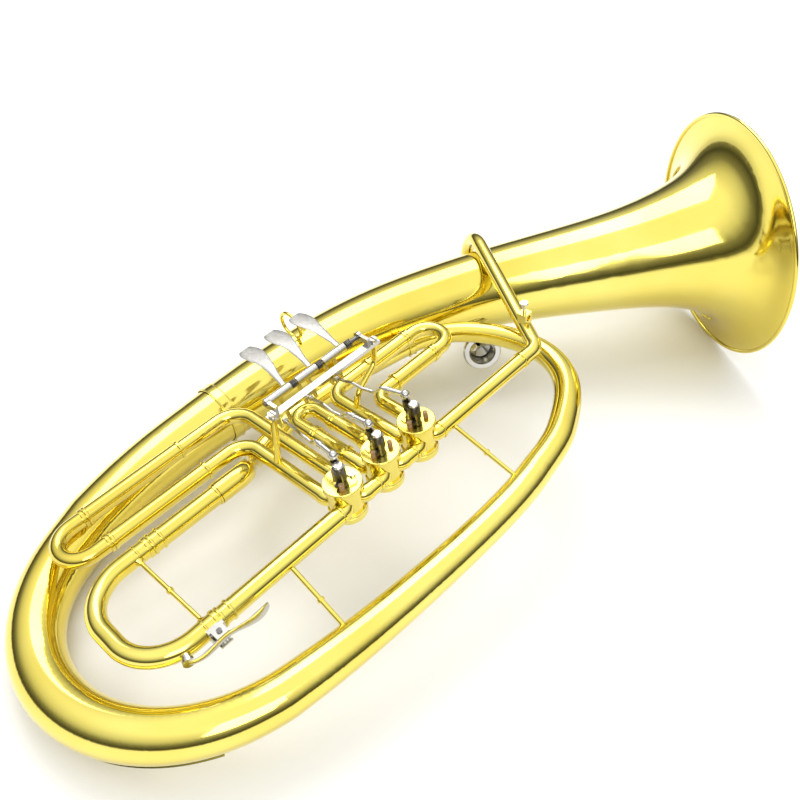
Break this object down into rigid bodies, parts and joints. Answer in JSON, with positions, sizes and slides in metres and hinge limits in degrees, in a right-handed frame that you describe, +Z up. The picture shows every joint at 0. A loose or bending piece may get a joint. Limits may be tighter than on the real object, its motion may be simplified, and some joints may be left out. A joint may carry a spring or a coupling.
{
  "type": "oval rotary valve tenor horn",
  "caption": "Oval brass tenor horn with a flared bell, rotary valves, sprung finger paddles, pull-out slides and a mouthpiece, lying on its back.",
  "frame": {"origin": "centre of the horn's bounding box, on the surface it lies on", "axes": "+Z up as it lies on its back, +Y towards the bell, +X from the bell branch to the outer branch"},
  "size_m": [0.3424, 0.8365, 0.2508],
  "materials": {
    "lacquered_brass": "polished",
    "nickel_silver": "polished",
    "satin_silver": "satin",
    "dark_steel": "satin",
    "cork": "matte"
  },
  "bodies": {
    "horn": {"bell": "lacquered_brass", "bell_branch": "lacquered_brass", "bottom_bow": "lacquered_brass", "outer_branch": "lacquered_brass", "top_bend": "lacquered_brass", "bell_rim_wire": "lacquered_brass", "bell_ferrule": "lacquered_brass", "small_ferrule": "lacquered_brass", "bow_guard": "lacquered_brass", "valve_casing_1": "lacquered_brass", "valve_casing_2": "lacquered_brass", "valve_casing_3": "lacquered_brass", "back_caps": "lacquered_brass", "front_bearings": "lacquered_brass", "stop_plates": "lacquered_brass", "stop_corks": "cork", "stop_screws": "nickel_silver", "valve_knuckles": "lacquered_brass", "valve_sleeves_1": "lacquered_brass", "valve_sleeves_2": "lacquered_brass", "valve_sleeves_3": "lacquered_brass", "tuning_sleeves": "lacquered_brass", "leadpipe": "lacquered_brass", "leadpipe_tail": "lacquered_brass", "mouthpiece_receiver": "lacquered_brass", "crossover": "lacquered_brass", "hinge_rod": "dark_steel", "paddle_springs": "dark_steel", "hinge_bracket": "lacquered_brass", "hinge_posts": "lacquered_brass", "hinge_screws": "nickel_silver", "thumb_ring": "lacquered_brass", "lyre_holder": "lacquered_brass", "body_braces": "lacquered_brass"},
    "paddle_1": {"paddle_1": "satin_silver"},
    "paddle_2": {"paddle_2": "satin_silver"},
    "paddle_3": {"paddle_3": "satin_silver"},
    "valve_1": {"rotor_1": "dark_steel", "stop_arm_1": "nickel_silver", "arm_screw_1": "nickel_silver"},
    "link_1": {"link_rod_1": "nickel_silver"},
    "valve_2": {"rotor_2": "dark_steel", "stop_arm_2": "nickel_silver", "arm_screw_2": "nickel_silver"},
    "link_2": {"link_rod_2": "nickel_silver"},
    "valve_3": {"rotor_3": "dark_steel", "stop_arm_3": "nickel_silver", "arm_screw_3": "nickel_silver"},
    "link_3": {"link_rod_3": "nickel_silver"},
    "tuning_slide": {"tuning_slide": "lacquered_brass", "water_key_saddle": "nickel_silver", "water_key_pin": "dark_steel", "water_key_nipple": "nickel_silver"},
    "water_key": {"water_key_lever": "nickel_silver", "water_key_cork": "cork"},
    "valve_slide_1": {"valve_slide_1": "lacquered_brass"},
    "valve_slide_2": {"valve_slide_2": "lacquered_brass"},
    "valve_slide_3": {"valve_slide_3": "lacquered_brass"},
    "mouthpiece": {"mouthpiece": "nickel_silver"},
    "lyre_screw": {"lyre_screw": "nickel_silver"}
  },
  "joints": [
    {"name": "paddle_1_press", "type": "hinge", "parent": "horn", "child": "paddle_1", "pos_m": [-0.0407, -0.10871, 0.14843], "axis": [0.0144, -0.9894, -0.1447], "range_deg": [0, 24], "stiffness_Nm_per_rad": 0.12, "springref_deg": -20.05},
    {"name": "paddle_2_press", "type": "hinge", "parent": "horn", "child": "paddle_2", "pos_m": [-0.04026, -0.13938, 0.14395], "axis": [0.0144, -0.9894, -0.1447], "range_deg": [0, 24], "stiffness_Nm_per_rad": 0.12, "springref_deg": -20.05},
    {"name": "paddle_3_press", "type": "hinge", "parent": "horn", "child": "paddle_3", "pos_m": [-0.03987, -0.16609, 0.14004], "axis": [0.0144, -0.9894, -0.1447], "range_deg": [0, 24], "stiffness_Nm_per_rad": 0.12, "springref_deg": -20.05},
    {"name": "valve_1_turn", "type": "hinge", "parent": "horn", "child": "valve_1", "pos_m": [0.04089, -0.09427, 0.1062], "axis": [-0.0983, -0.1454, 0.9845], "range_deg": [0, 90]},
    {"name": "link_1_pivot", "type": "hinge", "parent": "valve_1", "child": "link_1", "pos_m": [0.0283, -0.09851, 0.14261], "axis": [0.0983, 0.1454, -0.9845], "range_deg": [0, 100]},
    {"name": "valve_2_turn", "type": "hinge", "parent": "horn", "child": "valve_2", "pos_m": [0.04147, -0.13384, 0.10041], "axis": [-0.0983, -0.1454, 0.9845], "range_deg": [0, 90]},
    {"name": "link_2_pivot", "type": "hinge", "parent": "valve_2", "child": "link_2", "pos_m": [0.02888, -0.13808, 0.13682], "axis": [0.0983, 0.1454, -0.9845], "range_deg": [0, 100]},
    {"name": "valve_3_turn", "type": "hinge", "parent": "horn", "child": "valve_3", "pos_m": [0.04205, -0.17342, 0.09462], "axis": [0.0983, 0.1454, -0.9845], "range_deg": [0, 90]},
    {"name": "link_3_pivot", "type": "hinge", "parent": "valve_3", "child": "link_3", "pos_m": [0.03148, -0.17616, 0.13146], "axis": [-0.0983, -0.1454, 0.9845], "range_deg": [0, 94]},
    {"name": "tuning_pull", "type": "slide", "parent": "horn", "child": "tuning_slide", "axis": [0.0144, -0.9894, -0.1447], "range_m": [0, 0.05]},
    {"name": "water_key_press", "type": "hinge", "parent": "tuning_slide", "child": "water_key", "pos_m": [0.06632, -0.30698, 0.07732], "axis": [-0.0983, -0.1454, 0.9845], "range_deg": [0, 12], "stiffness_Nm_per_rad": 0.06, "springref_deg": -17.19},
    {"name": "valve_slide_1_pull", "type": "slide", "parent": "horn", "child": "valve_slide_1", "axis": [-0.0144, 0.9894, 0.1447], "range_m": [0, 0.034]},
    {"name": "valve_slide_2_pull", "type": "slide", "parent": "horn", "child": "valve_slide_2", "axis": [-0.9951, 0, -0.0993], "range_m": [0, 0.022]},
    {"name": "valve_slide_3_pull", "type": "slide", "parent": "horn", "child": "valve_slide_3", "axis": [0.0144, -0.9894, -0.1447], "range_m": [0, 0.06]},
    {"name": "mouthpiece_pull", "type": "slide", "parent": "horn", "child": "mouthpiece", "axis": [0.7358, -0.6242, 0.2627], "range_m": [0, 0.02]},
    {"name": "lyre_screw_turn", "type": "hinge", "parent": "horn", "child": "lyre_screw", "pos_m": [0.02255, 0.05701, 0.14397], "axis": [-0.0983, -0.1454, 0.9845], "range_deg": [0, 180]}
  ],
  "couplings": [
    {"joint": "valve_1_turn", "follows": "paddle_1_press", "ratio": 3.75},
    {"joint": "link_1_pivot", "follows": "paddle_1_press", "ratio": 4.131},
    {"joint": "valve_2_turn", "follows": "paddle_2_press", "ratio": 3.75},
    {"joint": "link_2_pivot", "follows": "paddle_2_press", "ratio": 4.1368},
    {"joint": "valve_3_turn", "follows": "paddle_3_press", "ratio": 3.75},
    {"joint": "link_3_pivot", "follows": "paddle_3_press", "ratio": 3.9035}
  ]
}
